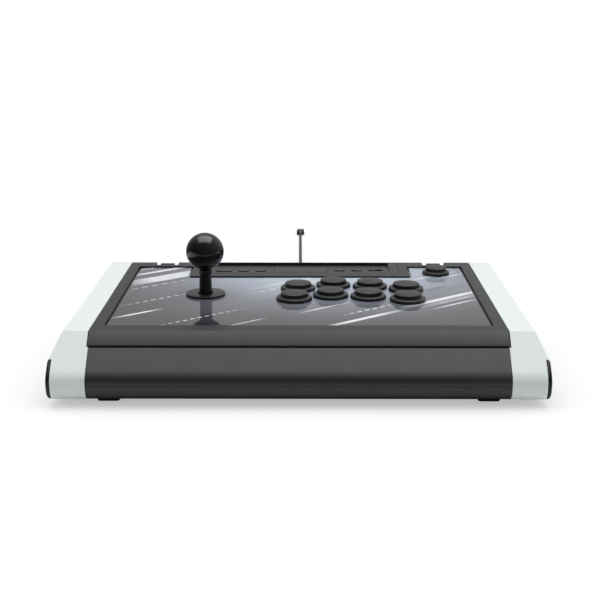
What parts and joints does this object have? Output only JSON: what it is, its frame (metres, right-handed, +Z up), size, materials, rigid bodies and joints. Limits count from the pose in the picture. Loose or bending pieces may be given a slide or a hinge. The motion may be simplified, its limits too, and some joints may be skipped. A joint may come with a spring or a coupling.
{
  "type": "arcade joystick panel",
  "caption": "Wide arcade control panel with a ball-top stick, round push buttons, a hinged lid, side wings and a cable.",
  "frame": {"origin": "on the floor under the middle of the case, the cable and its plug left out", "axes": "+X to the player's right along the case's width, +Y away from the player, +Z up"},
  "size_m": [0.41, 1.0663, 0.1234],
  "materials": {
    "black_case": "satin, fine moulded grain",
    "white_shell": "satin white",
    "black_cap": "satin black",
    "rubber": "matte",
    "printed_sheet": "high gloss over a print",
    "steel": "zinc plated",
    "black_steel": "black oxide",
    "button_black": "satin",
    "ball_black": "gloss",
    "board_green": "solder mask",
    "cable_black": "soft jacket"
  },
  "bodies": {
    "base": {"lower_case": "black_case", "base_plate": "steel", "wing_left": "white_shell", "wing_right": "white_shell", "side_cap_left": "black_cap", "side_cap_right": "black_cap", "foot_front_left": "rubber", "foot_front_right": "rubber", "foot_rear_left": "rubber", "foot_rear_right": "rubber", "main_board": "board_green", "catch_magnet": "steel", "hinge_bracket_left": "black_steel", "hinge_bracket_right": "black_steel", "strain_relief": "rubber", "cable_run_out": "cable_black", "cable_coil": "cable_black", "cable_run_back": "cable_black", "usb_plug": "cable_black"},
    "lid": {"top_frame": "black_case", "art_panel": "printed_sheet", "panel_plate": "steel", "control_strip": "black_case", "hinge_leaf_left": "black_steel", "hinge_leaf_right": "black_steel", "stick_mount_plate": "steel", "stick_housing": "black_cap", "stick_switches": "board_green", "button_b1_housing": "button_black", "button_b2_housing": "button_black", "button_b3_housing": "button_black", "button_b4_housing": "button_black", "button_f1_housing": "button_black", "button_f2_housing": "button_black", "button_f3_housing": "button_black", "button_f4_housing": "button_black", "button_side_housing": "button_black"},
    "gimbal": {"stick_gimbal": "steel"},
    "stick": {"stick_shaft": "steel", "shaft_cover": "ball_black", "ball_top": "ball_black", "stick_actuator": "black_cap", "stick_spring": "steel"},
    "washer": {"dust_washer": "button_black"},
    "button_b1": {"button_b1_plunger": "button_black"},
    "button_b2": {"button_b2_plunger": "button_black"},
    "button_b3": {"button_b3_plunger": "button_black"},
    "button_b4": {"button_b4_plunger": "button_black"},
    "button_f1": {"button_f1_plunger": "button_black"},
    "button_f2": {"button_f2_plunger": "button_black"},
    "button_f3": {"button_f3_plunger": "button_black"},
    "button_f4": {"button_f4_plunger": "button_black"},
    "button_side": {"button_side_plunger": "button_black"},
    "pill_button": {"pill_button": "button_black"},
    "round_button_1": {"round_button_1": "button_black"},
    "round_button_2": {"round_button_2": "button_black"},
    "mode_button_1": {"mode_button_1": "button_black"},
    "mode_button_2": {"mode_button_2": "button_black"},
    "touch_pad": {"touch_pad": "button_black"},
    "slide_switch": {"slide_switch": "button_black"}
  },
  "joints": [
    {"name": "lid_hinge", "type": "hinge", "parent": "base", "child": "lid", "pos_m": [0, 0.13808, 0.06801], "axis": [-1, 0, 0], "range_deg": [0, 70]},
    {"name": "stick_left_right", "type": "hinge", "parent": "lid", "child": "gimbal", "pos_m": [-0.0872, 0.01407, 0.05316], "axis": [0, 0.998, 0.0631], "range_deg": [-9, 9], "stiffness_Nm_per_rad": 0.8},
    {"name": "stick_up_down", "type": "hinge", "parent": "gimbal", "child": "stick", "pos_m": [-0.0872, 0.01407, 0.05316], "axis": [1, 0, 0], "range_deg": [-9, 9], "stiffness_Nm_per_rad": 0.8},
    {"name": "washer_slide", "type": "slide", "parent": "lid", "child": "washer", "axis": [1, 0, 0], "range_m": [-0.0023, 0.0023]},
    {"name": "press_b1", "type": "slide", "parent": "lid", "child": "button_b1", "axis": [0, 0.0631, -0.998], "range_m": [0, 0.0032], "stiffness_N_per_m": 150, "springref_m": -0.003},
    {"name": "press_b2", "type": "slide", "parent": "lid", "child": "button_b2", "axis": [0, 0.0631, -0.998], "range_m": [0, 0.0032], "stiffness_N_per_m": 150, "springref_m": -0.003},
    {"name": "press_b3", "type": "slide", "parent": "lid", "child": "button_b3", "axis": [0, 0.0631, -0.998], "range_m": [0, 0.0032], "stiffness_N_per_m": 150, "springref_m": -0.003},
    {"name": "press_b4", "type": "slide", "parent": "lid", "child": "button_b4", "axis": [0, 0.0631, -0.998], "range_m": [0, 0.0032], "stiffness_N_per_m": 150, "springref_m": -0.003},
    {"name": "press_f1", "type": "slide", "parent": "lid", "child": "button_f1", "axis": [0, 0.0631, -0.998], "range_m": [0, 0.0032], "stiffness_N_per_m": 150, "springref_m": -0.003},
    {"name": "press_f2", "type": "slide", "parent": "lid", "child": "button_f2", "axis": [0, 0.0631, -0.998], "range_m": [0, 0.0032], "stiffness_N_per_m": 150, "springref_m": -0.003},
    {"name": "press_f3", "type": "slide", "parent": "lid", "child": "button_f3", "axis": [0, 0.0631, -0.998], "range_m": [0, 0.0032], "stiffness_N_per_m": 150, "springref_m": -0.003},
    {"name": "press_f4", "type": "slide", "parent": "lid", "child": "button_f4", "axis": [0, 0.0631, -0.998], "range_m": [0, 0.0032], "stiffness_N_per_m": 150, "springref_m": -0.003},
    {"name": "press_side", "type": "slide", "parent": "lid", "child": "button_side", "axis": [0, 0.0631, -0.998], "range_m": [0, 0.0032], "stiffness_N_per_m": 150, "springref_m": -0.003},
    {"name": "press_pill_button", "type": "slide", "parent": "lid", "child": "pill_button", "axis": [0, 0, -1], "range_m": [0, 0.0008], "stiffness_N_per_m": 300, "springref_m": -0.001},
    {"name": "press_round_button_1", "type": "slide", "parent": "lid", "child": "round_button_1", "axis": [0, 0, -1], "range_m": [0, 0.0008], "stiffness_N_per_m": 300, "springref_m": -0.001},
    {"name": "press_round_button_2", "type": "slide", "parent": "lid", "child": "round_button_2", "axis": [0, 0, -1], "range_m": [0, 0.0008], "stiffness_N_per_m": 300, "springref_m": -0.001},
    {"name": "press_mode_button_1", "type": "slide", "parent": "lid", "child": "mode_button_1", "axis": [0, 0, -1], "range_m": [0, 0.0008], "stiffness_N_per_m": 300, "springref_m": -0.001},
    {"name": "press_mode_button_2", "type": "slide", "parent": "lid", "child": "mode_button_2", "axis": [0, 0, -1], "range_m": [0, 0.0008], "stiffness_N_per_m": 300, "springref_m": -0.001},
    {"name": "press_touch_pad", "type": "slide", "parent": "lid", "child": "touch_pad", "axis": [0, 0, -1], "range_m": [0, 0.0003], "stiffness_N_per_m": 300, "springref_m": -0.001},
    {"name": "switch_slide", "type": "slide", "parent": "lid", "child": "slide_switch", "axis": [1, 0, 0], "range_m": [0, 0.004]}
  ],
  "couplings": [
    {"joint": "washer_slide", "follows": "stick_left_right", "m_per_rad": 0.0136}
  ]
}
